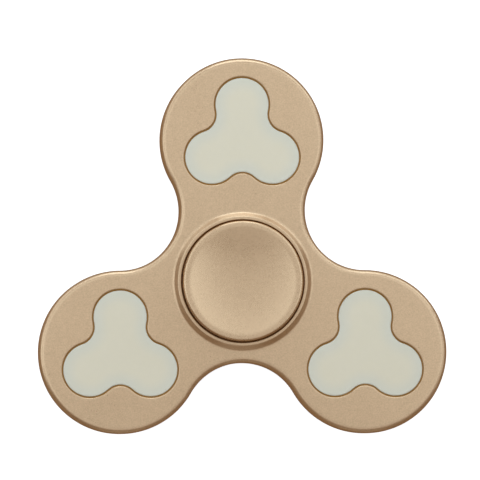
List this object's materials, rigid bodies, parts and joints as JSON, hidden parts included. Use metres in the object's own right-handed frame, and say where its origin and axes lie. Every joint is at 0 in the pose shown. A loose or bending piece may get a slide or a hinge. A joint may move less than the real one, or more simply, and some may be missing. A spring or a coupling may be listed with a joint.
{
  "type": "fidget spinner",
  "caption": "Three-armed metal spinner with trefoil inlays in its lobes, turning on a ball bearing held between two dished finger caps.",
  "frame": {"origin": "on the spin axis at the middle of the bearing, halfway through the body", "axes": "+Z along the spin axis out of the front cap, +Y along one arm"},
  "size_m": [0.0728, 0.0668, 0.0124],
  "materials": {
    "anodised_alloy": "bead-blasted, champagne gold anodised",
    "luminous_plastic": "milky, faintly translucent, satin",
    "bearing_steel": "ground and polished",
    "pressed_steel": "pressed sheet, dull bright"
  },
  "bodies": {
    "hub": {"back_cap": "anodised_alloy", "front_cap": "anodised_alloy", "bearing_inner_race": "bearing_steel"},
    "rotor": {"spinner_body": "anodised_alloy", "front_inlay_1": "luminous_plastic", "front_inlay_2": "luminous_plastic", "front_inlay_3": "luminous_plastic", "back_inlay_1": "luminous_plastic", "back_inlay_2": "luminous_plastic", "back_inlay_3": "luminous_plastic", "bearing_outer_race": "bearing_steel", "bearing_front_shield": "pressed_steel", "bearing_back_shield": "pressed_steel"},
    "cage": {"cage_front_half": "pressed_steel", "cage_back_half": "pressed_steel", "cage_rivets": "pressed_steel"},
    "ball_1": {"bearing_ball_1": "bearing_steel"},
    "ball_2": {"bearing_ball_2": "bearing_steel"},
    "ball_3": {"bearing_ball_3": "bearing_steel"},
    "ball_4": {"bearing_ball_4": "bearing_steel"},
    "ball_5": {"bearing_ball_5": "bearing_steel"},
    "ball_6": {"bearing_ball_6": "bearing_steel"},
    "ball_7": {"bearing_ball_7": "bearing_steel"}
  },
  "joints": [
    {"name": "rotor_spin", "type": "hinge", "parent": "hub", "child": "rotor", "pos_m": [0, 0, 0], "axis": [0, 0, 1], "continuous": true},
    {"name": "cage_orbit", "type": "hinge", "parent": "hub", "child": "cage", "pos_m": [0, 0, 0], "axis": [0, 0, 1], "continuous": true},
    {"name": "ball_1_roll", "type": "hinge", "parent": "cage", "child": "ball_1", "pos_m": [0, 0.0075, 0], "axis": [0, 0, 1], "continuous": true},
    {"name": "ball_2_roll", "type": "hinge", "parent": "cage", "child": "ball_2", "pos_m": [-0.00586, 0.00468, 0], "axis": [0, 0, 1], "continuous": true},
    {"name": "ball_3_roll", "type": "hinge", "parent": "cage", "child": "ball_3", "pos_m": [-0.00731, -0.00167, 0], "axis": [0, 0, 1], "continuous": true},
    {"name": "ball_4_roll", "type": "hinge", "parent": "cage", "child": "ball_4", "pos_m": [-0.00325, -0.00676, 0], "axis": [0, 0, 1], "continuous": true},
    {"name": "ball_5_roll", "type": "hinge", "parent": "cage", "child": "ball_5", "pos_m": [0.00325, -0.00676, 0], "axis": [0, 0, 1], "continuous": true},
    {"name": "ball_6_roll", "type": "hinge", "parent": "cage", "child": "ball_6", "pos_m": [0.00731, -0.00167, 0], "axis": [0, 0, 1], "continuous": true},
    {"name": "ball_7_roll", "type": "hinge", "parent": "cage", "child": "ball_7", "pos_m": [0.00586, 0.00468, 0], "axis": [0, 0, 1], "continuous": true}
  ],
  "couplings": [
    {"joint": "cage_orbit", "follows": "rotor_spin", "ratio": 0.6323},
    {"joint": "ball_1_roll", "follows": "rotor_spin", "ratio": 1.7573},
    {"joint": "ball_2_roll", "follows": "rotor_spin", "ratio": 1.7573},
    {"joint": "ball_3_roll", "follows": "rotor_spin", "ratio": 1.7573},
    {"joint": "ball_4_roll", "follows": "rotor_spin", "ratio": 1.7573},
    {"joint": "ball_5_roll", "follows": "rotor_spin", "ratio": 1.7573},
    {"joint": "ball_6_roll", "follows": "rotor_spin", "ratio": 1.7573},
    {"joint": "ball_7_roll", "follows": "rotor_spin", "ratio": 1.7573}
  ]
}
